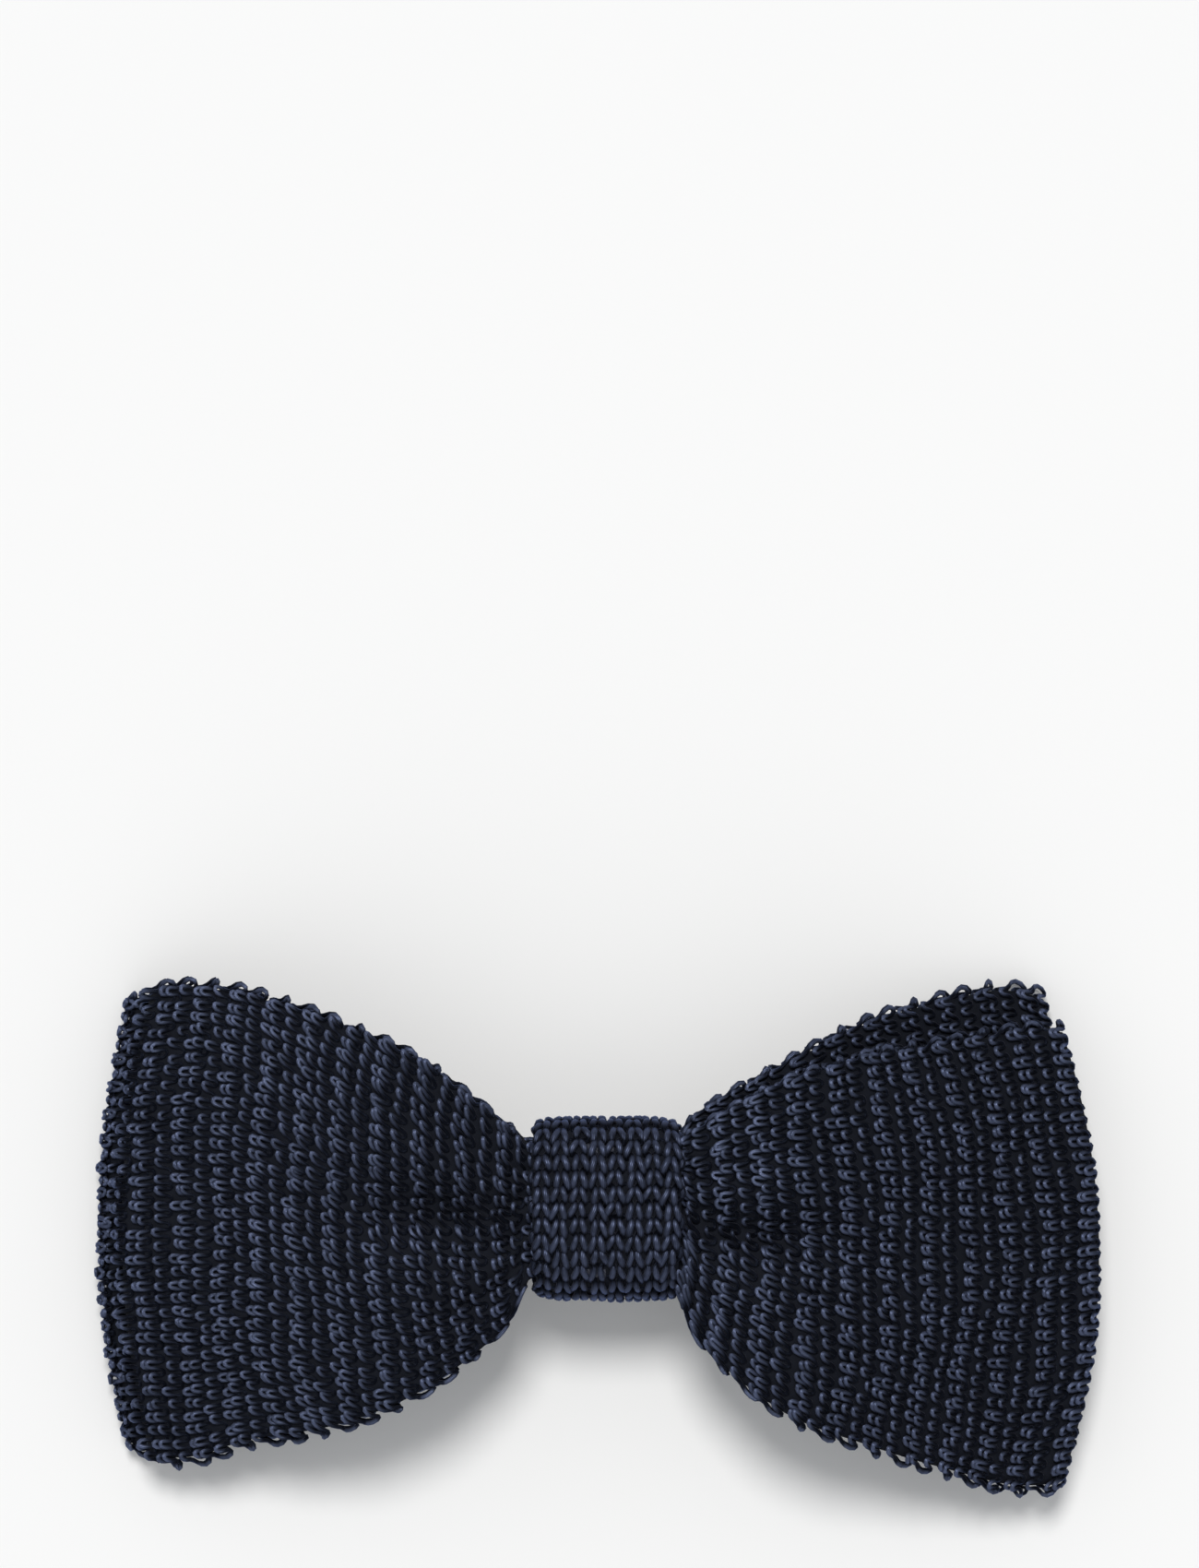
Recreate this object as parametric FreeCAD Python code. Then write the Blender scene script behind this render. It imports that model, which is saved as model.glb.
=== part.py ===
"""Knitted clip-on bow tie, lying on its back.

Millimetres, +X wing to wing, +Y up the bow, +Z out of its front.

The origin is on the floor under the middle of the bow. One STEP file is written for each real piece.
"""

import math
import os

import FreeCAD
import Part

V = FreeCAD.Vector
os.makedirs("parts", exist_ok=True)

# knit plies of the two bow loops
PLY = 1.5
TIP_DROP = 9.72
CORNER_DROP = 1.3
PINCH_Z = 11.7
PINCH_STEPS = (0.0, 2.1, 4.4, 6.5)
PUFF_STEPS = (0.0, 4.2, 6.6, 10.6)
TIP_STEPS = (0.0, 3.0, 5.1, 8.1)

# outline of each loop: distance from the middle, top edge, bottom edge
FRONT_LEFT = ((0, 10.5, -3.5), (8, 11.4, -4.6), (11, 14.0, -10.4), (20, 21.2, -17.8), (30, 25.8, -22.3),
              (40, 29.0, -24.6), (47, 29.8, -27.0), (56, 28.4, -26.6))
FRONT_RIGHT = ((0, 10.5, -3.5), (8, 11.4, -4.6), (11, 13.4, -11.6), (20, 18.6, -19.9), (30, 21.8, -24.4),
               (40, 23.4, -28.0), (48, 24.7, -30.2), (58, 24.9, -29.2))
REAR_LEFT = ((0, 10.5, -3.5), (8, 11.4, -4.6), (11, 13.8, -9.9), (20, 20.5, -17.2), (30, 25.0, -21.8),
             (40, 28.0, -24.0), (47, 28.8, -26.0), (58, 27.2, -26.0))
REAR_RIGHT = ((0, 10.5, -3.5), (8, 11.4, -4.6), (11, 14.8, -10.6), (20, 20.2, -17.6), (30, 25.4, -22.0),
              (40, 28.3, -25.0), (47, 29.4, -26.4), (56, 27.0, -26.4))
FRONT_REACH = {-1: (54.6, 3.6), 1: (56.8, 4.6)}
REAR_REACH = {-1: (56.8, 3.6), 1: (54.5, 4.0)}
CREASE_V = 0.06
CREASE_WIDTH = 0.20

# stiffener strips
LINING = 0.4
LINING_INSET = 5.5
LINING_MARGIN = 0.86

# knot band
KNOT_X0 = -8.0
KNOT_X1 = 9.4
KNOT_Y = 3.5
KNOT_Z = 14.6
KNOT_HALF_Y = 10.65
KNOT_HALF_Z = 6.6
KNOT_WALL = 1.7
KNOT_POWER = 3.5

# threads
THREAD_R = 0.2
GATHER_TURNS_X = (-1.4, -0.5, 0.4, 1.3)

# clip
CLIP_Y = 2.5
BASE_HALF_X = 21.0
BASE_HALF_Y = 5.0
BASE_Z0 = 7.2
BASE_Z1 = 8.0
METAL = 0.8
PIN_X = 9.0
PIN_Z = 5.2
PIN_R = 0.6
PIN_CLEARANCE = 0.05
EAR_R = 1.5
BASE_EAR_Y = 4.2
JAW_EAR_Y = 3.3
EAR_T = 0.7
PIN_HEAD_R = 1.1
PIN_HEAD_T = 0.5
JAW_HALF_Y = 3.25
JAW_PROFILE = ((1.4, 0.65), (2.8, 0.65), (4.2, 0.65), (8.0, 2.6), (13.0, 4.1), (19.0, 5.1), (20.4, 5.6))
TEETH = 5
SPRING_R = 1.35
SPRING_WIRE = 0.22
SPRING_TURNS = 3.5


def smooth(t):
    t = min(1.0, max(0.0, t))
    return t * t * (3 - 2 * t)


def along(rows, x, column):
    """The value at x on a smooth curve through the rows."""
    x = min(max(x, rows[0][0]), rows[-1][0])
    slopes = []
    for i in range(len(rows)):
        a = rows[max(i - 1, 0)]
        b = rows[min(i + 1, len(rows) - 1)]
        slopes.append((b[column] - a[column]) / (b[0] - a[0]))
    slopes[0] = 0.0
    for i in range(len(rows) - 1):
        a, b = rows[i], rows[i + 1]
        if a[0] <= x <= b[0]:
            w = b[0] - a[0]
            t = (x - a[0]) / w
            h00 = 2 * t**3 - 3 * t**2 + 1
            h10 = t**3 - 2 * t**2 + t
            h01 = -2 * t**3 + 3 * t**2
            h11 = t**3 - t**2
            return h00 * a[column] + h10 * w * slopes[i] + h01 * b[column] + h11 * w * slopes[i + 1]
    return rows[-1][column]


def puff(distance):
    """How far a ply has risen from its pinched height towards its fullest height."""
    return smooth((distance - 8.0) / 22.0)


def ply_height(x, v, ply, reach):
    """Height of the middle of a ply. Ply 0 is the lowest, ply 3 the front face."""
    d = abs(x)
    fall = smooth((d - 12.0) / (reach - 10.0))
    base = PINCH_Z - TIP_DROP * fall - CORNER_DROP * fall * v * v
    crease = 1.0 - smooth((d - 10.0) / 20.0)
    dent = crease * math.exp(-(((v - CREASE_V) / CREASE_WIDTH) ** 2))
    stack = PUFF_STEPS[ply] - PINCH_STEPS[ply]
    full = PINCH_STEPS[ply] + stack * puff(d) * (1 - dent) * (1 - 0.16 * v**4)
    to_tip = smooth((d - 30.0) / (reach - 30.0))
    return base + full + (TIP_STEPS[ply] - PUFF_STEPS[ply]) * to_tip * puff(d)


def width_at(x, v, left, right):
    rows = left if x < 0 else right
    top = along(rows, abs(x), 1)
    bottom = along(rows, abs(x), 2)
    return (top + bottom) / 2 + v * (top - bottom) / 2


class Loop:
    """One knit strip folded into a flat loop with a fold at each wing tip."""

    def __init__(self, low, high, left, right, reach):
        self.low = low
        self.high = high
        self.left = left
        self.right = right
        self.reach = reach

    def end(self, side, v):
        far, bow = self.reach[side]
        return far - bow * v * v

    def on_ply(self, side, f, v, ply):
        """f runs from 0 in the middle of the bow to 1 where the fold begins."""
        tip = self.end(side, v)
        radius = (TIP_STEPS[self.high] - TIP_STEPS[self.low]) / 2
        x = side * f * (tip - radius)
        z = ply_height(x, v, ply, tip - radius)
        return V(x, width_at(x, v, self.left, self.right), z)

    def on_fold(self, side, angle, v):
        tip = self.end(side, v)
        radius = (TIP_STEPS[self.high] - TIP_STEPS[self.low]) / 2
        x = side * (tip - radius)
        top = ply_height(x, v, self.high, tip - radius)
        bottom = ply_height(x, v, self.low, tip - radius)
        half = (top - bottom) / 2
        reach = radius * math.cos(angle)
        return V(
            x + side * reach,
            width_at(x + side * reach, v, self.left, self.right),
            (top + bottom) / 2 + half * math.sin(angle),
        )

    def ring(self, v):
        """Points once round the loop at a fixed place v across the strip."""
        steps = 16
        points = []
        for i in range(-steps, steps + 1):
            side = -1 if i < 0 else 1
            points.append(self.on_ply(side, abs(i) / steps, v, self.high))
        for i in range(1, 6):
            points.append(self.on_fold(1, math.pi / 2 - math.pi * i / 6, v))
        for i in range(steps, -steps - 1, -1):
            side = -1 if i < 0 else 1
            points.append(self.on_ply(side, abs(i) / steps, v, self.low))
        for i in range(1, 6):
            points.append(self.on_fold(-1, -math.pi / 2 + math.pi * i / 6, v))
        points.append(points[0])
        return points


def offset_grid(grid, distance, closed):
    """The grid moved along its own normals."""
    rows = len(grid)
    cols = len(grid[0])
    moved = []
    for i in range(rows):
        line = []
        for j in range(cols):
            if closed:
                a = grid[(i - 1) % (rows - 1)][j]
                b = grid[(i + 1) % (rows - 1)][j]
            else:
                a = grid[max(i - 1, 0)][j]
                b = grid[min(i + 1, rows - 1)][j]
            c = grid[i][max(j - 1, 0)]
            d = grid[i][min(j + 1, cols - 1)]
            normal = (b - a).cross(d - c)
            normal.normalize()
            line.append(grid[i][j] + normal * distance)
        moved.append(line)
    return moved


def surface(grid):
    patch = Part.BSplineSurface()
    patch.interpolate(grid)
    return patch


def sheet_solid(grid, thickness, closed):
    """A solid of even thickness about a grid of points."""
    outer = surface(offset_grid(grid, thickness / 2, closed))
    inner = surface(offset_grid(grid, -thickness / 2, closed))
    u0, u1, v0, v1 = outer.bounds()
    iu0, iu1, iv0, iv1 = inner.bounds()
    faces = [outer.toShape(), inner.toShape()]
    for a, b in ((v0, iv0), (v1, iv1)):
        faces.append(Part.makeRuledSurface(outer.vIso(a).toShape(), inner.vIso(b).toShape()))
    if not closed:
        for a, b in ((u0, iu0), (u1, iu1)):
            faces.append(Part.makeRuledSurface(outer.uIso(a).toShape(), inner.uIso(b).toShape()))
    shell = Part.makeShell(faces)
    shell.sewShape()
    solid = Part.makeSolid(shell)
    if solid.Volume < 0:
        solid.reverse()
    return solid


def loop_solid(loop):
    across = [-1.0 + 0.2 * i for i in range(11)]
    rings = [loop.ring(v) for v in across]
    grid = [[ring[i] for ring in rings] for i in range(len(rings[0]))]
    return sheet_solid(grid, PLY, True)


def lining_solid(loop):
    """A thin strip halfway between the two plies of a loop."""
    steps = 14
    grid = []
    for i in range(-steps, steps + 1):
        side = -1 if i < 0 else 1
        f = abs(i) / steps
        line = []
        for k in range(9):
            v = LINING_MARGIN * (-1.0 + 0.25 * k)
            tip = loop.end(side, v)
            short = (tip - LINING_INSET) / tip
            a = loop.on_ply(side, f * short, v, loop.low)
            b = loop.on_ply(side, f * short, v, loop.high)
            line.append((a + b) * 0.5)
        grid.append(line)
    return sheet_solid(grid, LINING, False)


def superellipse(half_y, half_z, x):
    """A closed curve round the knot at x."""
    points = []
    count = 40
    for i in range(count):
        a = 2 * math.pi * i / count
        c = math.cos(a)
        s = math.sin(a)
        y = half_y * math.copysign(abs(c) ** (2 / KNOT_POWER), c)
        z = half_z * math.copysign(abs(s) ** (2 / KNOT_POWER), s)
        points.append(V(x, KNOT_Y + y, KNOT_Z + z))
    curve = Part.BSplineCurve()
    curve.interpolate(Points=points, PeriodicFlag=True)
    return Part.Wire(curve.toShape())


def knot_solid():
    width = KNOT_X1 - KNOT_X0
    outer = Part.Face(superellipse(KNOT_HALF_Y, KNOT_HALF_Z, KNOT_X0)).extrude(V(width, 0, 0))
    outer = outer.makeFillet(0.75, [e for e in outer.Edges if e.BoundBox.XLength < 0.01])
    inner = Part.Face(superellipse(KNOT_HALF_Y - KNOT_WALL, KNOT_HALF_Z - KNOT_WALL, KNOT_X0 - 1))
    return outer.cut(inner.extrude(V(width + 2, 0, 0)))


def tube(path, radius):
    """A round wire along a path."""
    start = path.Edges[0]
    first = start.FirstParameter
    circle = Part.Wire(Part.Circle(start.valueAt(first), start.tangentAt(first), radius).toShape())
    return path.makePipeShell([circle], True, True)


def gather_solid():
    """Four turns of thread round the pinched plies."""
    low = PINCH_Z - PLY / 2 - THREAD_R - 0.03
    high = PINCH_Z + PINCH_STEPS[3] + PLY / 2 + THREAD_R + 0.03
    half = 7.0 + THREAD_R + 0.16
    corner = 0.5
    turns = []
    for x in GATHER_TURNS_X:
        outer = Part.makeBox(2 * THREAD_R, 2 * (half + THREAD_R), high - low + 2 * THREAD_R,
                             V(x - THREAD_R, KNOT_Y - half - THREAD_R, low - THREAD_R))
        outer = outer.makeFillet(corner + THREAD_R, [e for e in outer.Edges if e.BoundBox.XLength > 0.2])
        inner = Part.makeBox(4 * THREAD_R, 2 * (half - THREAD_R), high - low - 2 * THREAD_R,
                             V(x - 2 * THREAD_R, KNOT_Y - half + THREAD_R, low + THREAD_R))
        inner = inner.makeFillet(corner - THREAD_R, [e for e in inner.Edges if e.BoundBox.XLength > 0.2])
        turns.append(outer.cut(inner))
    bridge = Part.makeCylinder(THREAD_R, GATHER_TURNS_X[-1] - GATHER_TURNS_X[0],
                               V(GATHER_TURNS_X[0], KNOT_Y, high), V(1, 0, 0))
    solid = turns[0]
    for t in turns[1:] + [bridge]:
        solid = solid.fuse(t)
    return solid


def seam_solid():
    """Slip stitches along the closing seam at the back of the knot, on one running thread."""
    z = KNOT_Z - KNOT_HALF_Z - 0.02
    y = KNOT_Y + 5.4
    thread = Part.makeCylinder(THREAD_R, 15.2, V(KNOT_X0 + 1.1, y, z), V(1, 0, 0))
    for i in range(8):
        x = KNOT_X0 + 1.6 + 2.0 * i
        stitch = Part.makeCylinder(THREAD_R * 1.2, 1.5, V(x - 0.35, y - 0.66, z), V(0.45, 0.9, 0))
        thread = thread.fuse(stitch)
    return thread


def clip_base_solid():
    y0 = CLIP_Y - BASE_HALF_Y
    plate = Part.makeBox(2 * BASE_HALF_X, 2 * BASE_HALF_Y, METAL, V(-BASE_HALF_X, y0, BASE_Z0))
    plate = plate.makeFillet(1.6, [e for e in plate.Edges if e.BoundBox.ZLength > 0.5])
    for side in (-1, 1):
        for part in (-1, 1):
            inner = CLIP_Y + part * BASE_EAR_Y
            start = inner if part > 0 else inner - EAR_T
            x = side * PIN_X
            ear = Part.makeCylinder(EAR_R, EAR_T, V(x, start, PIN_Z), V(0, 1, 0))
            stem = Part.makeBox(2 * EAR_R, EAR_T, BASE_Z0 + 0.2 - PIN_Z, V(x - EAR_R, start, PIN_Z))
            ear = ear.fuse(stem)
            ear = ear.cut(Part.makeCylinder(PIN_R, EAR_T + 2, V(x, start - 1, PIN_Z), V(0, 1, 0)))
            plate = plate.fuse(ear)
    return plate.removeSplitter()


def jaw_solid(side):
    """A bent lever: thumb end near the middle, toothed end near the wing."""
    top = []
    bottom = []
    n = len(JAW_PROFILE)
    for i in range(n):
        a = JAW_PROFILE[max(i - 1, 0)]
        b = JAW_PROFILE[min(i + 1, n - 1)]
        dx = b[0] - a[0]
        dz = b[1] - a[1]
        w = math.hypot(dx, dz)
        x, z = JAW_PROFILE[i]
        top.append((x - dz / w * METAL / 2, z + dx / w * METAL / 2))
        bottom.append((x + dz / w * METAL / 2, z - dx / w * METAL / 2))
    lip = BASE_Z0 - 0.05
    top[-1] = (top[-1][0], lip)
    bottom[-1] = (bottom[-1][0] + 0.35, lip)
    outline = [V(side * x, CLIP_Y - JAW_HALF_Y, z) for x, z in top + bottom[::-1]]
    wire = Part.makePolygon(outline + [outline[0]])
    jaw = Part.Face(wire).extrude(V(0, 2 * JAW_HALF_Y, 0))
    pitch = 2 * JAW_HALF_Y / TEETH
    for i in range(TEETH):
        y = CLIP_Y - JAW_HALF_Y + pitch * (i + 0.5)
        x = side * 19.0
        notch = Part.Face(Part.makePolygon([
            V(x, y - 0.3, lip + 0.1),
            V(x, y + 0.3, lip + 0.1),
            V(x, y, lip - 0.6),
            V(x, y - 0.3, lip + 0.1),
        ])).extrude(V(side * 3.0, 0, 0))
        jaw = jaw.cut(notch)
    for part in (-1, 1):
        inner = CLIP_Y + part * JAW_EAR_Y
        start = inner if part > 0 else inner - EAR_T
        x = side * PIN_X
        ear = Part.makeCylinder(EAR_R - 0.1, EAR_T, V(x, start, PIN_Z), V(0, 1, 0))
        foot = Part.Face(Part.makePolygon([
            V(x - EAR_R + 0.1, start, PIN_Z),
            V(x + EAR_R - 0.1, start, PIN_Z),
            V(x + 3.4, start, 3.7 if side > 0 else 1.3),
            V(x - 3.4, start, 1.3 if side > 0 else 3.7),
            V(x - EAR_R + 0.1, start, PIN_Z),
        ])).extrude(V(0, EAR_T, 0))
        rail = ear.fuse(foot)
        bore = Part.makeCylinder(PIN_R + PIN_CLEARANCE, EAR_T + 2, V(x, start - 1, PIN_Z), V(0, 1, 0))
        rail = rail.cut(bore)
        jaw = jaw.fuse(rail)
    web_x = 8.6 if side > 0 else -11.6
    web = Part.makeBox(3.0, 2 * (JAW_EAR_Y + EAR_T), 0.6, V(web_x, CLIP_Y - JAW_EAR_Y - EAR_T, 2.6))
    jaw = jaw.fuse(web)
    return jaw.removeSplitter()


def pin_solid(side):
    half = BASE_EAR_Y + EAR_T
    x = side * PIN_X
    pin = Part.makeCylinder(PIN_R, 2 * half, V(x, CLIP_Y - half, PIN_Z), V(0, 1, 0))
    for start in (CLIP_Y - half - PIN_HEAD_T, CLIP_Y + half):
        head = Part.makeCylinder(PIN_HEAD_R, PIN_HEAD_T, V(x, start, PIN_Z), V(0, 1, 0))
        pin = pin.fuse(head)
    return pin.removeSplitter()


def spring_solid():
    """A torsion spring round the right pin, one leg on the base and one on the thumb end of the jaw."""
    pitch = 1.0
    length = pitch * SPRING_TURNS
    y0 = CLIP_Y - length / 2
    coil = []
    steps = int(16 * SPRING_TURNS)
    for i in range(steps + 1):
        a = math.pi / 2 - 2 * math.pi * SPRING_TURNS * i / steps
        coil.append(V(
            PIN_X + SPRING_R * math.cos(a),
            y0 + length * i / steps,
            PIN_Z + SPRING_R * math.sin(a),
        ))
    upper = V(PIN_X - 3.4, y0 - 0.1, BASE_Z0 - SPRING_WIRE - 0.02)
    lower = V(PIN_X - 5.6, y0 + length + 0.2, 1.35)
    curve = Part.BSplineCurve()
    curve.interpolate([upper] + coil + [lower])
    return tube(Part.Wire(curve.toShape()), SPRING_WIRE)


def clip_stitches_solid():
    """Thread wound over the clip base and into the back of the knot."""
    low = BASE_Z0 - THREAD_R
    high = BASE_Z1 + 0.5
    solid = None
    for x in (-4.4, -3.9, -3.4, 3.8, 4.3, 4.8):
        half = BASE_HALF_Y + THREAD_R
        outer = Part.makeBox(2 * THREAD_R, 2 * half + 2 * THREAD_R, high - low + 2 * THREAD_R,
                             V(x - THREAD_R, CLIP_Y - half - THREAD_R, low - THREAD_R))
        inner = Part.makeBox(4 * THREAD_R, 2 * half - 2 * THREAD_R, high - low - 2 * THREAD_R,
                             V(x - 2 * THREAD_R, CLIP_Y - half + THREAD_R, low + THREAD_R))
        ring = outer.cut(inner)
        solid = ring if solid is None else solid.fuse(ring)
    tie = Part.makeBox(9.2, 2 * THREAD_R, 2 * THREAD_R, V(-4.4, CLIP_Y - 0.2, high - THREAD_R))
    return solid.fuse(tie)


front = Loop(2, 3, FRONT_LEFT, FRONT_RIGHT, FRONT_REACH)
rear = Loop(0, 1, REAR_LEFT, REAR_RIGHT, REAR_REACH)
spring = spring_solid()

pieces = {
    "front_bow": loop_solid(front),
    "rear_bow": loop_solid(rear),
    "front_interlining": lining_solid(front),
    "rear_interlining": lining_solid(rear),
    "knot_band": knot_solid(),
    "gather_thread": gather_solid(),
    "knot_seam": seam_solid(),
    "clip_base": clip_base_solid(),
    "clip_jaw_left": jaw_solid(-1),
    "clip_jaw_right": jaw_solid(1),
    "hinge_pin_left": pin_solid(-1),
    "hinge_pin_right": pin_solid(1),
    "spring_left": spring.mirror(V(0, 0, 0), V(1, 0, 0)),
    "spring_right": spring,
    "clip_stitches": clip_stitches_solid(),
}

for name, shape in pieces.items():
    box = shape.BoundBox
    print(
        name,
        "valid" if shape.isValid() else "NOT VALID",
        "solids", len(shape.Solids),
        "volume", round(shape.Volume, 2),
        "x", round(box.XMin, 2), round(box.XMax, 2),
        "y", round(box.YMin, 2), round(box.YMax, 2),
        "z", round(box.ZMin, 2), round(box.ZMax, 2),
    )
    shape.exportStep("parts/" + name + ".step")
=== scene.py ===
"""Knitted clip-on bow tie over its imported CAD.

Both loops and the knot band are knitted yarn by yarn. The threads and the sprung clip are the CAD's own.
"""

import math

import bpy
import numpy as np
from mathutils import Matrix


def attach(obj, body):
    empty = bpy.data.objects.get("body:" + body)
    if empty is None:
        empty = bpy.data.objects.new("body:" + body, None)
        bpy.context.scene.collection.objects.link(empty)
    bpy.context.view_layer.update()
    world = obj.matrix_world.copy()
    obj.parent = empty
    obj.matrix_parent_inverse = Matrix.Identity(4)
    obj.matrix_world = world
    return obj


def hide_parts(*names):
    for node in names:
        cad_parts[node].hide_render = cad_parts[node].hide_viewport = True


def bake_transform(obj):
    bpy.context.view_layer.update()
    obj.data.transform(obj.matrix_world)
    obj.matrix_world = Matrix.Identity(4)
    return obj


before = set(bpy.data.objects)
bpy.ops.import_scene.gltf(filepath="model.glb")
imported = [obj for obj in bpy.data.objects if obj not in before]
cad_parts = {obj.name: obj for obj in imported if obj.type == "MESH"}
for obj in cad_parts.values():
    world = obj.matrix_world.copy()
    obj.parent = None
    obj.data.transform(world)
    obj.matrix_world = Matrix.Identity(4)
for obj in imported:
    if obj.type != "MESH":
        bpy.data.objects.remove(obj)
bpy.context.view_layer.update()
rng = np.random.default_rng(7)

# ---------------------------------------------------------------- sizes, in millimetres until a mesh is made

MM = 0.001

# the step in q and v that a surface's slopes are taken over
STEP = 1e-3

# heights of the four plies, the lowest first: in the pinched middle, at the fullest place and at the tips
PINCH_Z = 11.7
PINCH_STEPS = (0.0, 2.1, 4.4, 6.5)
PUFF_STEPS = (0.0, 4.2, 6.6, 10.6)
TIP_STEPS = (0.0, 3.0, 5.1, 8.1)
TIP_DROP = 9.72
CORNER_DROP = 1.3
EDGE_THINNING = 0.16

# where along a wing it puffs up, falls and flattens. The fall is shorter than the wing by FALL_SHORT
PUFF_START, PUFF_LENGTH = 7.5, 17.0
FALL_START, FALL_SHORT = 12.0, 10.0
FLATTEN_START = 30.0

# outline of each wing: distance from the middle, top edge, bottom edge
FRONT_ROWS = {
    -1: np.array([
        (0, 10.5, -3.5), (8, 11.4, -4.6), (11, 14.0, -10.4), (20, 21.2, -17.8), (30, 25.8, -22.3),
        (40, 29.0, -24.6), (47, 29.8, -27.0), (56, 28.4, -26.6)]),
    1: np.array([
        (0, 10.5, -3.5), (8, 11.4, -4.6), (11, 13.4, -11.6), (20, 18.6, -19.9), (30, 21.8, -24.4),
        (40, 23.4, -28.0), (48, 24.7, -30.2), (58, 24.9, -29.2)]),
}
REAR_ROWS = {
    -1: np.array([
        (0, 10.5, -3.5), (8, 11.4, -4.6), (11, 13.8, -9.9), (20, 20.5, -17.2), (30, 25.0, -21.8),
        (40, 28.0, -24.0), (47, 28.8, -26.0), (58, 27.2, -26.0)]),
    1: np.array([
        (0, 10.5, -3.5), (8, 11.4, -4.6), (11, 14.8, -10.6), (20, 20.2, -17.6), (30, 25.4, -22.0),
        (40, 28.3, -25.0), (47, 29.4, -26.4), (56, 27.0, -26.4)]),
}

# how far each tip reaches, and how much less its corners do
FRONT_REACH = {-1: (55.0, 3.6), 1: (57.3, 4.6)}
REAR_REACH = {-1: (57.4, 3.6), 1: (54.9, 4.0)}

# the crease that runs out from the knot, the width and length of the painted shade in it, and the fine pleats
# beside it
CREASE_V = 0.06
CREASE_WIDTH = 0.15
CREASE_SHADE_WIDTH = 0.10
CREASE_START, CREASE_LENGTH = 14.0, 20.0
SHADE_START, SHADE_LENGTH = 13.0, 14.0
PLEAT_HEIGHT = 0.4
PLEAT_HALF_WAVES = 5.5
PLEAT_START, PLEAT_FULL, PLEAT_FADE = 5.0, 8.0, 9.0

# the wings' knit: width of a stitch, distance between columns and in a double column, length of a loop
WALE = 1.53
COLUMN = 2.43
NEST = 0.82
REACH = 1.75
YARN_R = 0.245

# by the way q runs from a row's feet to its heads: how steeply its legs drop, and how much its stitches slant
DIVE = {1: 2.3, -1: 2.9}
SLANT = {1: 0.3, -1: 0.7}
SLANT_LENGTH = 28.0

# how far a row's loops start behind its line, as a share of their length, and where they end near the knot
FOOT_BACK = 0.15
KNIT_END = 0.925

# how far a loop's head spreads, how uneven the stitches are, and how the rows wave
FACE_SPREAD, PURL_SPREAD = 0.235, 0.13
TALL_STEP = 0.07
TALL_NOISE = 0.2
SPREAD_NOISE = 0.02
LEAN_NOISE = 0.11
WAVES = ((0.28, 0.53, 0.31), (0.2, 0.21, -0.17))
FOLD_SCALLOP = 0.5

# across the strip: where its rows end, where the yarn turns back, and what the ground cloth covers. The
# ground cloth stands for the knit under the loops and is coloured near black as painted shade
ROW_EDGE = 0.965
TURN_EDGE = 0.985
GROUND_EDGE = 0.94
GROUND_DEPTH = 0.42
CLOTH_THICKNESS = 0.35

# the stiffener strip inside a loop: where it runs along each wing, and how far across
LINING_Q = (0.10, 0.97)
LINING_EDGE = 0.84

# the knot band and its knit
KNOT_X0, KNOT_X1 = -8.0, 9.4
KNOT_Y, KNOT_Z = 3.5, 14.6
KNOT_HALF_Y, KNOT_HALF_Z = 9.95, 5.9
KNOT_POWER = 2.5
KNOT_TRIM = 0.5
KNOT_WALE = 2.1
KNOT_COURSES = 29
KNOT_REACH = 2.6
KNOT_YARN_R = 0.37
KNOT_SEAM_Q = 0.52
KNOT_GROUND_EDGE = 0.97
KNOT_GROUND_DEPTH = 0.35


# ---------------------------------------------------------------- the bow's surfaces

def smooth(t):
    t = np.clip(t, 0.0, 1.0)
    return t * t * (3 - 2 * t)


def unit(vectors, least=1e-9):
    return vectors / np.maximum(np.linalg.norm(vectors, axis=-1, keepdims=True), least)


def along(rows, x, column):
    """The value at x on a smooth curve through the rows."""
    xs, ys = rows[:, 0], rows[:, column]
    slopes = np.empty(len(xs))
    slopes[1:-1] = (ys[2:] - ys[:-2]) / (xs[2:] - xs[:-2])
    slopes[0] = 0.0
    slopes[-1] = (ys[-1] - ys[-2]) / (xs[-1] - xs[-2])
    x = np.clip(x, xs[0], xs[-1])
    i = np.clip(np.searchsorted(xs, x, side="right") - 1, 0, len(xs) - 2)
    w = xs[i + 1] - xs[i]
    t = (x - xs[i]) / w
    return ((2 * t**3 - 3 * t**2 + 1) * ys[i] + (t**3 - 2 * t**2 + t) * w * slopes[i]
            + (3 * t**2 - 2 * t**3) * ys[i + 1] + (t**3 - t**2) * w * slopes[i + 1])


def ply_height(d, v, ply, reach):
    """Height of the middle of a ply at distance d from the middle of the bow. Ply 3 is the front face."""
    fall = smooth((d - FALL_START) / (reach - FALL_SHORT))
    base = PINCH_Z - TIP_DROP * fall - CORNER_DROP * fall * v * v
    crease = 1.0 - smooth((d - CREASE_START) / CREASE_LENGTH)
    dent = crease * np.exp(-(((v - CREASE_V) / CREASE_WIDTH) ** 2))
    rise = smooth((d - PUFF_START) / PUFF_LENGTH)
    puff = (PUFF_STEPS[ply] - PINCH_STEPS[ply]) * rise * (1 - dent) * (1 - EDGE_THINNING * v**4)
    to_tip = smooth((d - FLATTEN_START) / (reach - FLATTEN_START))
    return base + PINCH_STEPS[ply] + puff + (TIP_STEPS[ply] - PUFF_STEPS[ply]) * to_tip * rise


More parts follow.
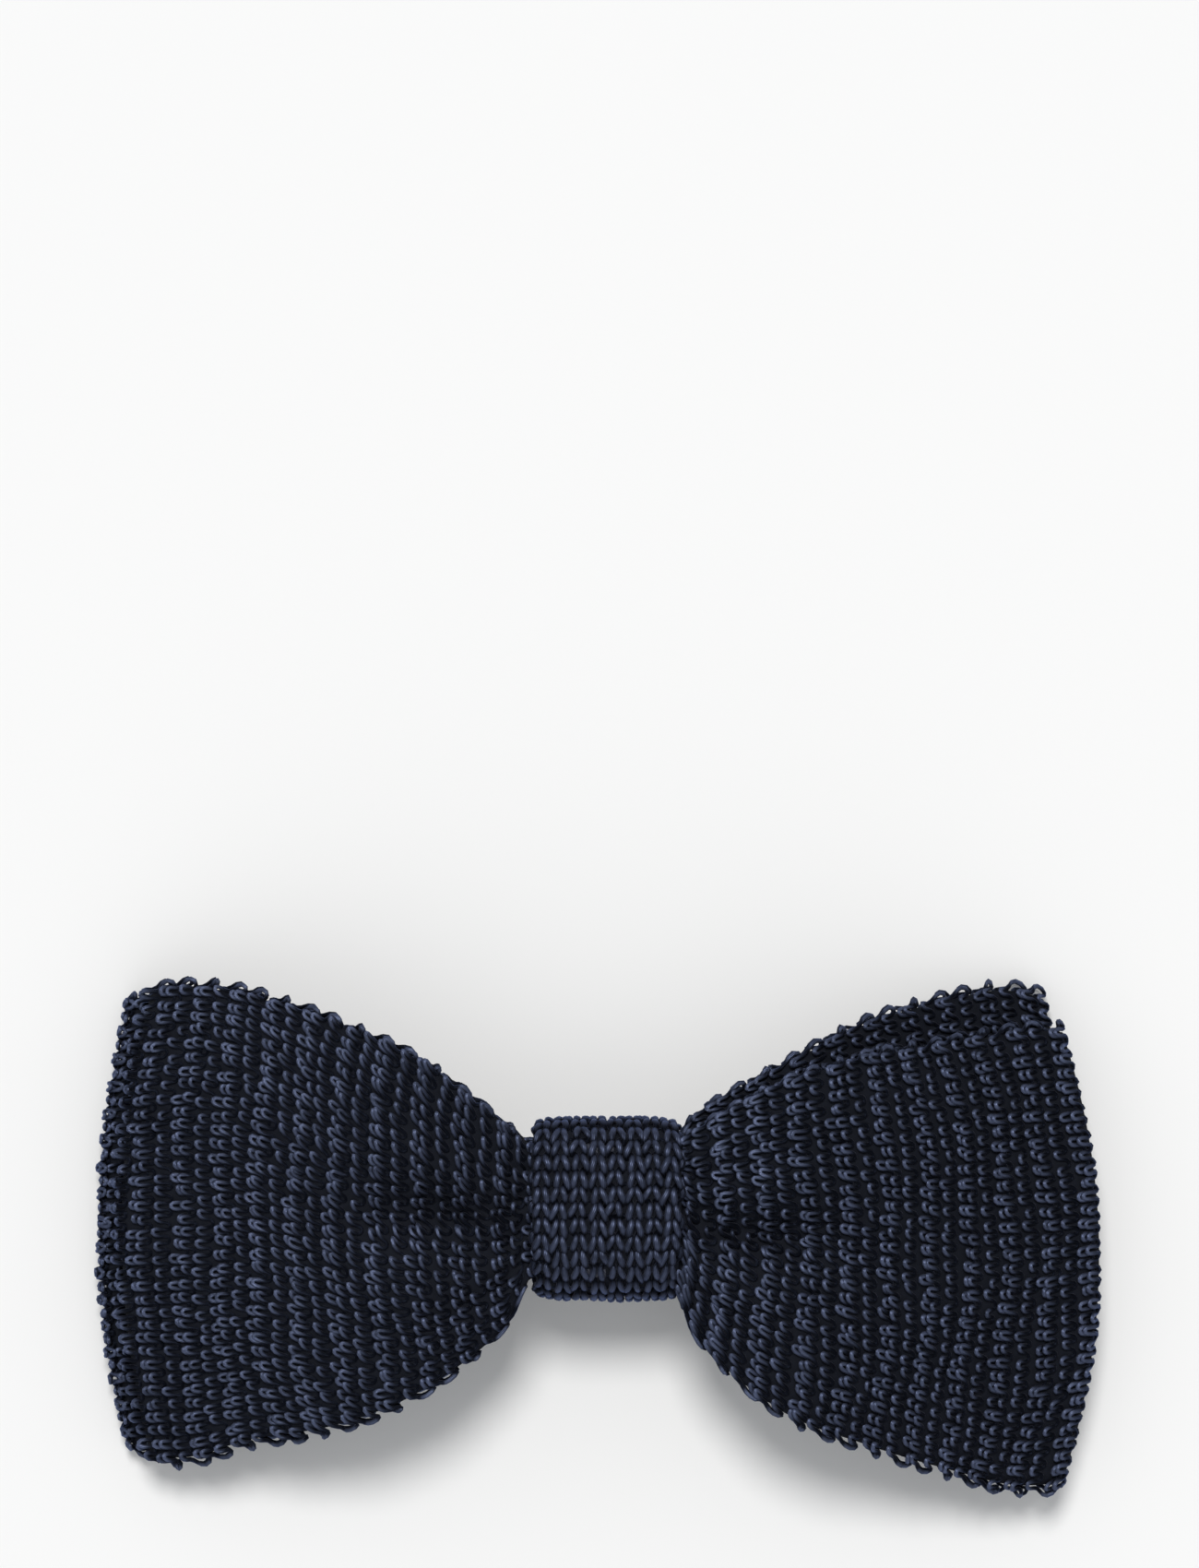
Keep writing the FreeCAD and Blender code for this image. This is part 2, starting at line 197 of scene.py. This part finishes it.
class Wing:
    """One side of one loop.

    q runs from -1, the middle of the bow on the lower ply, through 0 at the tip's fold to 1, the middle on
    the upper ply. v runs from -1 to 1 up the bow.
    """

    FOLD = 0.042

    def __init__(self, side, low, high, rows, reach):
        self.side, self.low, self.high, self.rows = side, low, high, rows
        self.far, self.bulge = reach
        self.radius = (TIP_STEPS[high] - TIP_STEPS[low]) / 2

    def share(self, q):
        """How far a point lies from the middle of the bow to the start of the fold, 0 to 1."""
        return np.clip(1 - (np.abs(q) - self.FOLD) / (1 - self.FOLD), 0, 1)

    def middle(self, q, v):
        """Points on the ply's middle."""
        start = self.far - self.bulge * v * v - self.radius
        on_fold = np.abs(q) < self.FOLD
        angle = np.clip(q / self.FOLD, -1, 1) * math.pi / 2
        d = np.where(on_fold, start, self.share(q) * start)
        top, low = ply_height(d, v, self.high, start), ply_height(d, v, self.low, start)
        z_ply = np.where(q > 0, top, low)
        z_fold = (top + low) / 2 + (top - low) / 2 * np.sin(angle)
        z = np.where(on_fold, z_fold, z_ply)
        d = np.where(on_fold, start + self.radius * np.cos(angle), d)
        upper, lower = along(self.rows, d, 1), along(self.rows, d, 2)
        y = (upper + lower) / 2 + v * (upper - lower) / 2
        near = np.exp(-(np.maximum(d - PLEAT_FULL, 0) / PLEAT_FADE)) * smooth((d - PLEAT_START) / 5.0)
        pleat = np.cos(v * PLEAT_HALF_WAVES * math.pi) * (1 - 0.5 * v * v)
        z = z + np.sign(q) * PLEAT_HEIGHT * near * pleat
        return np.stack([self.side * d, y, z], axis=-1)

    def at(self, q, v, out=0.0):
        """Points moved off the ply's middle by out, away from the loop's inside, and their normals."""
        p = self.middle(q, v)
        a = self.middle(q + STEP, v) - self.middle(q - STEP, v)
        b = self.middle(q, v + STEP) - self.middle(q, v - STEP)
        n = unit(np.cross(a, b) * -self.side)
        inward = n[..., 2:] * np.sign(q)[..., None] < -0.2
        off_fold = np.abs(q)[..., None] > self.FOLD * 1.2
        n = np.where(inward & off_fold, -n, n)
        return p + n * np.asarray(out)[..., None], n

    def painted_shade(self, q, v):
        """How far into the pinched crease of the upper ply a point lies, 0 to 1: painted shade, which darkens
        the yarn there.
        """
        d = (self.far - self.radius) * self.share(q)
        across = np.exp(-(((v - CREASE_V) / CREASE_SHADE_WIDTH) ** 2))
        return (1.0 - smooth((d - SHADE_START) / SHADE_LENGTH)) * across * (q > 0)


class Knot:
    """The band round the middle. q runs once round it, v from one edge to the other."""

    def middle(self, q, v):
        a = math.pi / 2 - 2 * math.pi * q
        edge = 1 - 0.07 * np.abs(v) ** 6
        c, s = np.cos(a), np.sin(a)
        e = 2 / KNOT_POWER
        y = KNOT_Y + KNOT_HALF_Y * np.sign(c) * np.abs(c) ** e * edge
        z = KNOT_Z + KNOT_HALF_Z * np.sign(s) * np.abs(s) ** e * edge
        x = (KNOT_X0 + KNOT_X1) / 2 + v * (KNOT_X1 - KNOT_X0 - KNOT_TRIM) / 2
        x = x + 0.25 * np.sin(2 * math.pi * q * 2 + 1.0) * v
        return np.stack([x, y, z], axis=-1)

    def at(self, q, v, out=0.0):
        """Points moved outwards from the band's middle by out, and their normals."""
        p = self.middle(q, v)
        squash = (KNOT_HALF_Y / KNOT_HALF_Z) ** 2
        outward = np.stack([0 * q, p[..., 1] - KNOT_Y, (p[..., 2] - KNOT_Z) * squash], axis=-1)
        d = self.middle(q + STEP, v) - self.middle(q - STEP, v)
        n = unit(np.cross(np.broadcast_to(np.array([1.0, 0, 0]), d.shape), d))
        n = np.where((n * outward).sum(-1, keepdims=True) < 0, -n, n)
        return p + n * np.asarray(out)[..., None], n

    def painted_shade(self, q, v):
        """Painted shade on the band's top and bottom, where it turns from the light: how far round towards
        them a point lies, 0 to 0.25.
        """
        turned = np.abs(np.cos(math.pi / 2 - 2 * math.pi * q)) ** (2 / KNOT_POWER)
        return 0.25 * smooth(turned * 2.4 - 1.4)


# ---------------------------------------------------------------- knitting

def unroll(surface, start, end):
    """Tables that turn millimetres along a surface's middle into its q."""
    q = np.linspace(start, end, 1500)
    lengths = []
    for v in (-0.6, -0.25, 0.3, 0.6):
        p = surface.at(q, np.full(q.shape, v))[0]
        lengths.append(np.concatenate([[0], np.cumsum(np.linalg.norm(np.diff(p, axis=0), axis=1))]))
    return np.mean(lengths, axis=0), q


def face_stitch(bow, phase, jitter, radius):
    """How proud the yarn of a face stitch lies, and its lift. Its legs stand proud."""
    high = np.broadcast_to(((1 - np.cos(2 * phase)) / 2) ** 1.3, (len(jitter), bow.shape[1]))
    return high, radius * (-1.3 + 2.3 * high + 0.25 * jitter * bow)


def purl_stitch(bow, legs, dive, jitter, radius):
    """The same for a purl stitch. Its head stands proud, and so do its legs where legs is set."""
    high = np.where(legs, 0.85 * bow ** (dive - 1.5), bow**dive)
    return high, radius * (1.2 - 0.87 * dive + (0.5 + dive) * high + 0.4 * jitter * bow)


def knit_path(surface, table, rows, paired, grows, wale, radius, steps, reach, fold=None, face=False):
    """The line of one yarn knitted back and forth, row after row: points, normals and how proud each one is,
    with painted shade taken off it in creases and on the knot's top and bottom.

    rows holds where each row's feet lie, in millimetres along the table's surface, and grows is 1 or -1. wale
    is the width of a stitch, so a gathered row has fewer of them. paired rows lie close together, and every
    other wale in them shows its legs as well. At the fold every other loop stands out.
    """
    points, normals, proud = [], [], []
    t = (np.arange(steps) + 0.5) / steps
    phase = 2 * math.pi * t[None, :]
    bow = (1 - np.cos(phase)) / 2
    for i, foot in enumerate(rows):
        ends = surface.at(np.interp([foot, foot], *table), np.array([-ROW_EDGE, ROW_EDGE]))[0]
        wales = 2 * round(np.linalg.norm(ends[1] - ends[0]) / wale / 2)
        even = (np.arange(wales) % 2)[:, None]
        jitter = rng.normal(0, 1, (4, wales, 1))
        tall = reach * (1 + TALL_STEP * (2 * even - 1)) + TALL_NOISE * jitter[0]
        spread = (FACE_SPREAD if face else PURL_SPREAD) + SPREAD_NOISE * jitter[1]
        a = np.arange(wales)[:, None] + t[None, :] + spread * np.sin(2 * phase)
        a = a + LEAN_NOISE * jitter[2] * bow
        up = bow * tall - FOOT_BACK * reach
        if face:
            high, lift = face_stitch(bow, phase, jitter[3], radius)
        else:
            high, lift = purl_stitch(bow, (even > 0) & paired[i], DIVE[grows], jitter[3], radius)
            lift = lift + FOLD_SCALLOP * even * np.exp(-(((foot + grows * up - fold) / 0.9) ** 2))
            for height, by_wale, by_foot in WAVES:
                up = up + height * np.sin(a * by_wale + foot * by_foot)
        a, up, lift, high = a.ravel(), up.ravel(), lift.ravel(), high.ravel()
        if i % 2:
            a, up, lift, high = a[::-1], up[::-1], lift[::-1], high[::-1]
        if not face:
            a = a + SLANT[grows] * (high - 0.3) * min(1.0, abs(foot - fold) / SLANT_LENGTH)
        v = ROW_EDGE * (-1 + 2 * a / wales)
        q = np.interp(foot + grows * up, *table)
        p, n = surface.at(q, np.clip(v, -1.01, 1.01), lift)
        points.append(p)
        normals.append(n)
        # painted shade: the yarn counts as less proud, and so is coloured darker, where the surface's painted
        # shade lies
        proud.append(high - 0.6 * surface.painted_shade(q, v))
        if i < len(rows) - 1:
            edge = -TURN_EDGE if i % 2 else TURN_EDGE
            turn = np.array([0.2, 0.5, 0.8])
            q = np.interp(foot + (rows[i + 1] - foot) * turn - grows * FOOT_BACK * reach, *table)
            p, n = surface.at(q, np.full(3, edge), np.full(3, -0.2 * radius))
            points.append(p)
            normals.append(n)
            proud.append(np.full(3, 0.6))
    line = np.concatenate(points)
    line[1:-1] = (line[:-2] + 2 * line[1:-1] + line[2:]) / 4
    return line, np.concatenate(normals), np.concatenate(proud)


# ---------------------------------------------------------------- meshes

def mesh_object(name, verts, quads, finish, uv=None):
    me = bpy.data.meshes.new(name)
    me.vertices.add(len(verts))
    me.vertices.foreach_set("co", np.ascontiguousarray(verts, np.float32).ravel())
    me.loops.add(quads.size)
    me.loops.foreach_set("vertex_index", quads.astype(np.int32).ravel())
    me.polygons.add(len(quads))
    me.polygons.foreach_set("loop_start", np.arange(0, quads.size, 4, dtype=np.int32))
    me.polygons.foreach_set("use_smooth", np.ones(len(quads), bool))
    me.update(calc_edges=True)
    if uv is not None:
        layer = me.uv_layers.new(name="yarn")
        layer.data.foreach_set("uv", uv.astype(np.float32).ravel())
    me.materials.append(finish)
    ob = bpy.data.objects.new(name, me)
    bpy.context.scene.collection.objects.link(ob)
    return ob


def tube(name, line, normals, proud, radius, sides, finish):
    """A yarn along a line, with a UV map of turns round it by millimetres along it, and how proud it lies,
    which its colour turns into painted shade.
    """
    n = len(line)
    tangent = unit(np.gradient(line, axis=0))
    across = unit(np.cross(tangent, normals), 1e-6)
    for _ in range(3):
        across[1:-1] = across[:-2] + 2 * across[1:-1] + across[2:]
        across = unit(across, 1e-6)
    over = np.cross(across, tangent)
    thick = radius * (1 + 0.05 * np.sin(np.arange(n) * 0.37) + 0.04 * np.sin(np.arange(n) * 0.113))
    turn = 2 * math.pi * np.arange(sides) / sides
    ring = (across[:, None, :] * np.cos(turn)[None, :, None] * 1.08
            + over[:, None, :] * np.sin(turn)[None, :, None] * 0.94) * thick[:, None, None]
    verts = (line[:, None, :] + ring).reshape(-1, 3) * MM
    i = np.arange(n - 1)[:, None] * sides
    j = np.arange(sides)[None, :]
    k = (j + 1) % sides
    quads = np.stack([i + j, i + k, i + sides + k, i + sides + j], axis=-1).reshape(-1, 4)
    length = np.concatenate([[0], np.cumsum(np.linalg.norm(np.diff(line, axis=0), axis=1))])
    shape = (n - 1, sides)
    u0, u1 = (np.broadcast_to((j + step) / sides, shape) for step in (0, 1))
    l0, l1 = (np.broadcast_to(part[:, None], shape) for part in (length[:-1], length[1:]))
    corners = ((u0, l0), (u1, l0), (u1, l1), (u0, l1))
    uv = np.stack([np.stack(corner, -1) for corner in corners], 2)
    ob = mesh_object(name, verts, quads, finish, uv.reshape(-1, 2))
    layer = ob.data.attributes.new("proud", "FLOAT", "POINT")
    # painted shade: each yarn's outer side counts as prouder and its underside as less proud, so its
    # underside is coloured darker
    height = proud[:, None] + 0.22 * np.sin(turn)[None, :]
    layer.data.foreach_set("value", height.astype(np.float32).ravel())
    return ob


def cloth(name, points, normals, finish, closed):
    """A thin closed sheet about a grid of points. closed joins the grid's last row to its first."""
    rows, cols = points.shape[:2]
    top = points + normals * CLOTH_THICKNESS / 2
    low = points - normals * CLOTH_THICKNESS / 2
    verts = np.concatenate([top.reshape(-1, 3), low.reshape(-1, 3)]) * MM
    index = np.arange(rows * cols).reshape(rows, cols)
    other = index + rows * cols
    if closed:
        a, b = index, np.roll(index, -1, axis=0)
        c, d = other, np.roll(other, -1, axis=0)
    else:
        a, b, c, d = index[:-1], index[1:], other[:-1], other[1:]
    quads = [
        np.stack([a[:, :-1], a[:, 1:], b[:, 1:], b[:, :-1]], -1).reshape(-1, 4),
        np.stack([d[:, :-1], d[:, 1:], c[:, 1:], c[:, :-1]], -1).reshape(-1, 4),
        np.stack([a[:, 0], b[:, 0], d[:, 0], c[:, 0]], -1).reshape(-1, 4),
        np.stack([c[:, -1], d[:, -1], b[:, -1], a[:, -1]], -1).reshape(-1, 4),
    ]
    if not closed:
        for row, one, two in ((0, slice(1, None), slice(None, -1)), (-1, slice(None, -1), slice(1, None))):
            end = [index[row, one], index[row, two], other[row, two], other[row, one]]
            quads.append(np.stack(end, -1).reshape(-1, 4))
    return mesh_object(name, verts, np.concatenate(quads), finish)


def settle(ob, slot, *nodes):
    """Lets a piece of the bow stand for CAD nodes, which it hides, and move with the bow. slot is not used.
    """
    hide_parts(*nodes)
    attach(ob, "bow")
    return ob


# ---------------------------------------------------------------- materials

def material(name, roughness, metallic=0.0, specular=0.5, sheen=0.0, sheen_tint=(1, 1, 1)):
    m = bpy.data.materials.new(name)
    m.use_nodes = True
    p = m.node_tree.nodes["Principled BSDF"]
    p.inputs["Roughness"].default_value = roughness
    p.inputs["Metallic"].default_value = metallic
    p.inputs["Specular IOR Level"].default_value = specular
    p.inputs["Sheen Weight"].default_value = sheen
    p.inputs["Sheen Roughness"].default_value = 0.45
    p.inputs["Sheen Tint"].default_value = (*sheen_tint, 1)
    return m, m.node_tree.nodes, m.node_tree.links, p


def math_node(nodes, links, operation, *values):
    node = nodes.new("ShaderNodeMath")
    node.operation = operation
    for place, value in enumerate(values):
        if isinstance(value, (int, float)):
            node.inputs[place].default_value = value
        else:
            links.new(value, node.inputs[place])
    return node.outputs[0]


def noise(nodes, links, scale, detail=2.0, vector=None):
    node = nodes.new("ShaderNodeTexNoise")
    node.inputs["Scale"].default_value = scale
    node.inputs["Detail"].default_value = detail
    if vector is not None:
        links.new(vector, node.inputs["Vector"])
    return node.outputs[0]


def blended_colour(nodes, links, dark, light, amount):
    mix = nodes.new("ShaderNodeMix")
    mix.data_type = "RGBA"
    mix.inputs[6].default_value = (*dark, 1)
    mix.inputs[7].default_value = (*light, 1)
    links.new(amount, mix.inputs[0])
    return mix.outputs[2]


def add_bump(nodes, links, p, height, strength, distance):
    bump = nodes.new("ShaderNodeBump")
    bump.inputs["Strength"].default_value = strength
    bump.inputs["Distance"].default_value = distance
    links.new(height, bump.inputs["Height"])
    links.new(bump.outputs[0], p.inputs["Normal"])


def yarn_material(name, dark, light, deep):
    """Glossy multi-filament yarn: fine twisted filaments, and a colour that changes a little along it.

    The colour carries painted shade: it darkens from proud stitches to deep ones. The gloss is metallic, so
    that this painted shade dims it too. A point less proud than deep is darkest.
    """
    m, nodes, links, p = material(
        name, 0.40, metallic=0.85, specular=0.3, sheen=0.08, sheen_tint=(0.62, 0.66, 0.9))
    p.inputs["Specular Tint"].default_value = (0.52, 0.62, 1.0, 1)
    p.inputs["IOR"].default_value = 1.6
    uv = nodes.new("ShaderNodeUVMap")
    uv.uv_map = "yarn"
    split = nodes.new("ShaderNodeSeparateXYZ")
    links.new(uv.outputs[0], split.inputs[0])
    turns = math_node(nodes, links, "MULTIPLY", split.outputs[0], 14.0)
    run = math_node(nodes, links, "MULTIPLY", split.outputs[1], 0.7)
    wave = math_node(nodes, links, "ADD", turns, run)
    wave = math_node(nodes, links, "MULTIPLY", wave, 2 * math.pi)
    wave = math_node(nodes, links, "SINE", wave)
    place = nodes.new("ShaderNodeTexCoord").outputs["Object"]
    fuzz = math_node(nodes, links, "MULTIPLY", noise(nodes, links, 900.0, 3.0, place), 0.6)
    filaments = math_node(nodes, links, "MULTIPLY_ADD", wave, 0.25, 0.5)
    relief = math_node(nodes, links, "ADD", filaments, fuzz)
    add_bump(nodes, links, p, relief, 0.6, 0.00006)
    patches = noise(nodes, links, 650.0, vector=place)
    patches = math_node(nodes, links, "MULTIPLY_ADD", patches, 3.2, -0.85)
    amount = math_node(nodes, links, "MULTIPLY", relief, patches)
    colour = blended_colour(nodes, links, dark, light, amount)
    # painted shade: the colour is scaled down by the proud attribute, from 1 on proud yarn to 0.05 on deep
    # yarn
    height = nodes.new("ShaderNodeAttribute")
    height.attribute_name = "proud"
    lit = nodes.new("ShaderNodeMapRange")
    lit.interpolation_type = "SMOOTHSTEP"
    for socket, value in (("From Min", deep), ("From Max", 1.1), ("To Min", 0.05), ("To Max", 1.0)):
        lit.inputs[socket].default_value = value
    links.new(height.outputs["Fac"], lit.inputs["Value"])
    shaded = nodes.new("ShaderNodeVectorMath")
    shaded.operation = "SCALE"
    links.new(colour, shaded.inputs[0])
    links.new(lit.outputs[0], shaded.inputs["Scale"])
    links.new(shaded.outputs[0], p.inputs["Base Color"])
    return m


def matt_cloth(name, dark, light):
    m, nodes, links, p = material(name, 0.85, specular=0.2)
    place = nodes.new("ShaderNodeTexCoord").outputs["Object"]
    fibres = noise(nodes, links, 1400.0, 4.0, place)
    links.new(blended_colour(nodes, links, dark, light, fibres), p.inputs["Base Color"])
    add_bump(nodes, links, p, fibres, 0.5, 0.0001)
    return m


def thread_material(name, dark, light):
    """Sewing thread: fine diagonal twist."""
    m, nodes, links, p = material(name, 0.5, specular=0.4, sheen=0.2)
    wave = nodes.new("ShaderNodeTexWave")
    wave.bands_direction = "DIAGONAL"
    wave.inputs["Scale"].default_value = 1500.0
    wave.inputs["Distortion"].default_value = 0.6
    links.new(nodes.new("ShaderNodeTexCoord").outputs["Object"], wave.inputs["Vector"])
    twist = wave.outputs["Fac"]
    links.new(blended_colour(nodes, links, dark, light, twist), p.inputs["Base Color"])
    add_bump(nodes, links, p, twist, 0.6, 0.00008)
    return m


def steel(name, dark, light, roughness):
    """Plated steel with fine rolling marks and a few smudges."""
    m, nodes, links, p = material(name, roughness, metallic=1.0)
    place = nodes.new("ShaderNodeTexCoord").outputs["Object"]
    mapping = nodes.new("ShaderNodeMapping")
    mapping.inputs["Scale"].default_value = (60.0, 2600.0, 2600.0)
    links.new(place, mapping.inputs["Vector"])
    brushed = noise(nodes, links, 1.0, 3.0, mapping.outputs[0])
    smudge = noise(nodes, links, 160.0, vector=place)
    links.new(blended_colour(nodes, links, dark, light, smudge), p.inputs["Base Color"])
    rough = math_node(nodes, links, "MULTIPLY_ADD", smudge, 0.18, roughness - 0.09)
    links.new(rough, p.inputs["Roughness"])
    add_bump(nodes, links, p, brushed, 0.25, 0.00003)
    return m


wing_yarn = yarn_material("wing_yarn", (0.045, 0.055, 0.090), (0.105, 0.127, 0.210), 0.25)
# the knot's yarn is the wings' yarn coloured darker, and dimmed from a higher deep mark: painted shade
knot_yarn = yarn_material("knot_yarn", (0.030, 0.036, 0.060), (0.063, 0.076, 0.127), 0.6)
# the ground cloth under the yarn is coloured near black: painted shade in the gaps between stitches
dark_shade_cloth = matt_cloth("knit_ground_shade", (0.0015, 0.0022, 0.005), (0.005, 0.007, 0.014))
felt = matt_cloth("interlining_felt", (0.012, 0.012, 0.014), (0.03, 0.03, 0.035))
thread = thread_material("sewing_thread", (0.010, 0.012, 0.022), (0.03, 0.034, 0.055))
clip_metal = steel("clip_nickel", (0.55, 0.55, 0.53), (0.72, 0.71, 0.68), 0.3)
spring_metal = steel("spring_wire", (0.42, 0.42, 0.42), (0.58, 0.58, 0.57), 0.35)


# ---------------------------------------------------------------- the two loops

def column_rows(length):
    """Distances of the rows from the fold, in single and double columns by turns, and which are paired."""
    rows, paired = [], []
    for column in range(int(length / COLUMN) + 1):
        place = length - column * COLUMN
        if column % 2:
            rows += [place + NEST / 2, place - NEST / 2]
            paired += [True, True]
        else:
            rows += [place]
            paired += [False]
    return rows, paired


def make_loop(node, low, high, outline, reach, detail):
    """One knit loop: a ground cloth coloured near black, which is painted shade in the gaps, and the yarn
    knitted over it on each half of each ply.

    detail holds the steps along a stitch and the sides of the yarn. Each half's yarn is cut in two meshes.
    """
    wings = {side: Wing(side, low, high, outline[side], reach[side]) for side in (-1, 1)}
    across = np.linspace(-GROUND_EDGE, GROUND_EDGE, 41)
    bands = []
    for side in (1, -1):
        qq, vv = np.meshgrid(np.linspace(side, -side, 90)[:-1], across, indexing="ij")
        bands.append(wings[side].at(qq, vv, np.full(qq.shape, -GROUND_DEPTH)))
    points, normals = (np.concatenate(part) for part in zip(*bands))
    base = settle(cloth(node + "_ground_shade", points, normals, dark_shade_cloth, True), "knit_yarn", node)
    for side, wing in wings.items():
        table = unroll(wing, -KNIT_END, KNIT_END)
        fold = np.interp(0.0, table[1], table[0])
        for part, sign in (("front", 1), ("back", -1)):
            steps, sides = detail[part]
            rows, paired = column_rows(table[0][-1] - fold if sign > 0 else fold)
            # the heads of the loops point towards -X on both plies
            grows = side * sign
            if grows * sign > 0:
                rows, paired = rows[::-1], paired[::-1]
            rows = fold + sign * np.array(rows)
            line, normals, proud = knit_path(
                wing, table, rows, paired, grows, WALE, YARN_R, steps, REACH, fold)
            name = node + "_" + part + "_knit_" + ("left" if side < 0 else "right")
            half = len(line) // 2
            for ending, span in (("_a", slice(0, half + 1)), ("_b", slice(half, None))):
                yarn = tube(name + ending, line[span], normals[span], proud[span], YARN_R, sides, wing_yarn)
                settle(yarn, "knit_yarn", node)
    return wings


FRONT_DETAIL = {"front": (12, 7), "back": (8, 5)}
REAR_DETAIL = {"front": (9, 6), "back": (10, 6)}
front_wings = make_loop("front_bow", 2, 3, FRONT_ROWS, FRONT_REACH, FRONT_DETAIL)
rear_wings = make_loop("rear_bow", 0, 1, REAR_ROWS, REAR_REACH, REAR_DETAIL)


def make_lining(node, wings):
    """A felt strip halfway between the two plies of a loop."""
    points = []
    for side in (-1, 1):
        q = np.linspace(*LINING_Q, 50)[::-side]
        qq, vv = np.meshgrid(q, np.linspace(-LINING_EDGE, LINING_EDGE, 25), indexing="ij")
        points.append((wings[side].at(qq, vv)[0] + wings[side].at(-qq, vv)[0]) / 2)
    points = np.concatenate(points)
    normals = np.zeros_like(points)
    normals[..., 2] = 1
    strip = settle(cloth(node + "_felt", points, normals, felt, False), "interlining", node)


make_lining("front_interlining", front_wings)
make_lining("rear_interlining", rear_wings)


# ---------------------------------------------------------------- the knot

knot = Knot()
knot_table = unroll(knot, 0.4, 1.6)
knot_start, knot_end = np.interp([KNOT_SEAM_Q, KNOT_SEAM_Q + 1], knot_table[1], knot_table[0])
knot_rows = np.linspace(knot_end, knot_start, KNOT_COURSES + 1)
knot_paired = [False] * len(knot_rows)
knot_line, knot_normals, knot_proud = knit_path(
    knot, knot_table, knot_rows, knot_paired, -1, KNOT_WALE, KNOT_YARN_R, 16, KNOT_REACH, face=True)
knot_tube = tube("knot_band_knit", knot_line, knot_normals, knot_proud, KNOT_YARN_R, 8, knot_yarn)
settle(knot_tube, "knot_yarn", "knot_band")
# the knot's ground cloth, coloured near black: painted shade in the gaps between its stitches
qq, vv = np.meshgrid(
    np.linspace(0, 1, 97)[:-1], np.linspace(-KNOT_GROUND_EDGE, KNOT_GROUND_EDGE, 17), indexing="ij")
knot_points, knot_normals = knot.at(qq, vv, np.full(qq.shape, -KNOT_GROUND_DEPTH))
knot_ground_shade = cloth("knot_band_ground_shade", knot_points, knot_normals, dark_shade_cloth, True)
settle(knot_ground_shade, "knot_yarn", "knot_band")


# ---------------------------------------------------------------- threads and clip

FINISHES = {
    "gather_thread": thread,
    "knot_seam": thread,
    "clip_stitches": thread,
    "clip_base": clip_metal,
    "clip_jaw_left": clip_metal,
    "clip_jaw_right": clip_metal,
    "hinge_pin_left": clip_metal,
    "hinge_pin_right": clip_metal,
}
for name, finish in FINISHES.items():
    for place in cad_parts[name].material_slots:
        place.link = "OBJECT"
        place.material = finish


def wound_spring(side):
    """A torsion spring's wire, coil and legs: a copy of the CAD's spring in spring steel, which takes its
    place. It isn't attached to the base or the jaw.
    """
    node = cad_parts["spring_" + side]
    wire = bpy.data.objects.new(node.name + "_wire", node.data.copy())
    bpy.context.scene.collection.objects.link(wire)
    wire.matrix_world = node.matrix_world.copy()
    wire.data.materials.clear()
    wire.data.materials.append(spring_metal)
    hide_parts(node.name)
    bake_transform(wire)


wound_spring("left")
wound_spring("right")


# ---------------------------------------------------------------- floor, light and camera

FLOOR_HALF = 3.0
FLOOR_Z = -0.00005
WORLD_STRENGTH = 0.44
CAMERA_PLACE = (-0.0001, 0.0516, 0.76)
CAMERA_LENS = 151.0

floor_material, nodes, links, p = material("paper_floor", 0.9, specular=0.1)
paper = noise(nodes, links, 6.0)
links.new(blended_colour(nodes, links, (0.895,) * 3, (0.905,) * 3, paper), p.inputs["Base Color"])
floor_corners = FLOOR_HALF * np.array([(-1, -1, 0), (1, -1, 0), (1, 1, 0), (-1, 1, 0)])
floor = mesh_object("floor", floor_corners, np.array([[0, 1, 2, 3]]), floor_material)
floor.location.z = FLOOR_Z

world = bpy.data.worlds.new("studio")
bpy.context.scene.world = world
world.use_nodes = True
back = world.node_tree.nodes["Background"]
back.inputs["Color"].default_value = (0.96, 0.98, 1.0, 1)
back.inputs["Strength"].default_value = WORLD_STRENGTH


def sun(name, energy, softness, tilt, colour):
    """A sun lamp. softness and tilt are in degrees."""
    light = bpy.data.lights.new(name, "SUN")
    light.energy = energy
    light.angle = math.radians(softness)
    light.color = colour
    ob = bpy.data.objects.new(name, light)
    ob.rotation_euler = tuple(math.radians(t) for t in tilt)
    bpy.context.scene.collection.objects.link(ob)


sun("key", 1.95, 18, (-25, -3, 0), (1.0, 0.99, 0.97))
sun("fill", 0.38, 70, (48, 4, 0), (0.98, 0.99, 1.0))

camera = bpy.data.cameras.new("camera")
camera.sensor_width = 36
camera.lens = CAMERA_LENS
camera.clip_start = 0.01
camera.clip_end = 20
camera_ob = bpy.data.objects.new("camera", camera)
camera_ob.location = CAMERA_PLACE
bpy.context.scene.collection.objects.link(camera_ob)
bpy.context.scene.camera = camera_ob
bpy.context.scene.view_settings.view_transform = "Standard"
